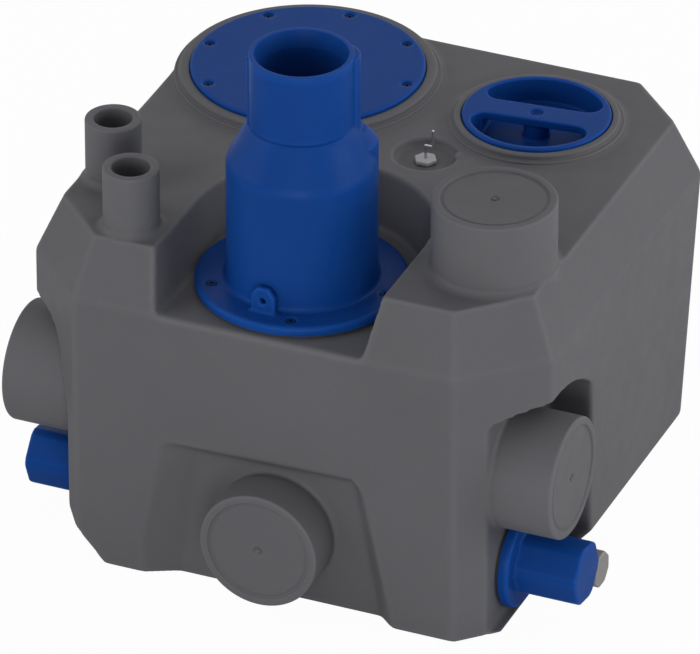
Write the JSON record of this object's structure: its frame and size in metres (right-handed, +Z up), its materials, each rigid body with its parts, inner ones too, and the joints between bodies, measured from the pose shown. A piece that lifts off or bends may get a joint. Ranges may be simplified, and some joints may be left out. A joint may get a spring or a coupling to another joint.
{
  "type": "sewage lifting station",
  "caption": "Floor-standing sewage lifting station: closed tank with pipe spigots, a bolted pump cover, a screw cap, a level rod and a check valve with a hose neck.",
  "frame": {"origin": "centre of the tank's flat underside", "axes": "+Z up, -Y towards the front face with the niche, +X towards the side of the top inlet"},
  "size_m": [0.5315, 0.5119, 0.499],
  "materials": {
    "grey_polyethylene": "matte",
    "blue_plastic": "satin",
    "light_grey_plastic": "matte",
    "black_rubber": "matte",
    "stainless_steel": "brushed",
    "brass": "satin",
    "cast_iron": "painted",
    "laminated_steel": "satin",
    "copper_and_steel": "satin"
  },
  "bodies": {
    "station": {"tank": "grey_polyethylene", "pump_cover": "blue_plastic", "cover_gasket": "black_rubber", "cover_screws": "stainless_steel", "cover_inserts": "brass", "discharge_valve_body": "blue_plastic", "flange_gasket": "black_rubber", "flange_screws": "stainless_steel", "flange_nuts": "stainless_steel", "valve_seat": "black_rubber", "flap_hinge_pin": "stainless_steel", "rod_guide": "light_grey_plastic", "rod_guide_nut": "light_grey_plastic", "plug_right": "blue_plastic", "plug_left": "blue_plastic", "plug_seals": "black_rubber", "drain_plug": "light_grey_plastic", "pump_feet": "black_rubber", "pump_housing": "cast_iron", "suction_plate": "stainless_steel", "motor_casing": "cast_iron", "motor_cover": "cast_iron", "motor_cover_screws": "stainless_steel", "stator": "copper_and_steel", "lower_bearing": "laminated_steel", "upper_bearing": "laminated_steel", "shaft_seal": "black_rubber", "riser_pipe": "cast_iron", "pressure_pipe": "cast_iron", "pipe_sleeve": "black_rubber", "sleeve_clamps": "stainless_steel"},
    "cap_seal": {"cap_o_ring": "black_rubber"},
    "cap": {"inspection_cap": "blue_plastic"},
    "flap": {"check_flap": "black_rubber", "flap_weight": "stainless_steel"},
    "level_gauge": {"level_rod": "stainless_steel", "level_float": "light_grey_plastic", "float_stops": "stainless_steel"},
    "rotor": {"motor_shaft": "stainless_steel", "rotor_core": "laminated_steel", "impeller": "cast_iron", "impeller_nut": "stainless_steel"}
  },
  "joints": [
    {"name": "cap_lift", "type": "slide", "parent": "station", "child": "cap_seal", "axis": [0, 0, 1], "range_m": [0, 0.0122]},
    {"name": "cap_turn", "type": "hinge", "parent": "cap_seal", "child": "cap", "pos_m": [0.111, 0.115, 0.3314], "axis": [0, 0, 1], "range_deg": [0, 540]},
    {"name": "flap_swing", "type": "hinge", "parent": "station", "child": "flap", "pos_m": [-0.005, -0.089, 0.2923], "axis": [-1, 0, 0], "range_deg": [0, 60]},
    {"name": "level_slide", "type": "slide", "parent": "station", "child": "level_gauge", "axis": [0, 0, 1], "range_m": [0, 0.06]},
    {"name": "rotor_spin", "type": "hinge", "parent": "station", "child": "rotor", "pos_m": [-0.109, 0.115, 0.12], "axis": [0, 0, 1], "continuous": true}
  ],
  "couplings": [
    {"joint": "cap_lift", "follows": "cap_turn", "m_per_rad": 0.0012732}
  ]
}
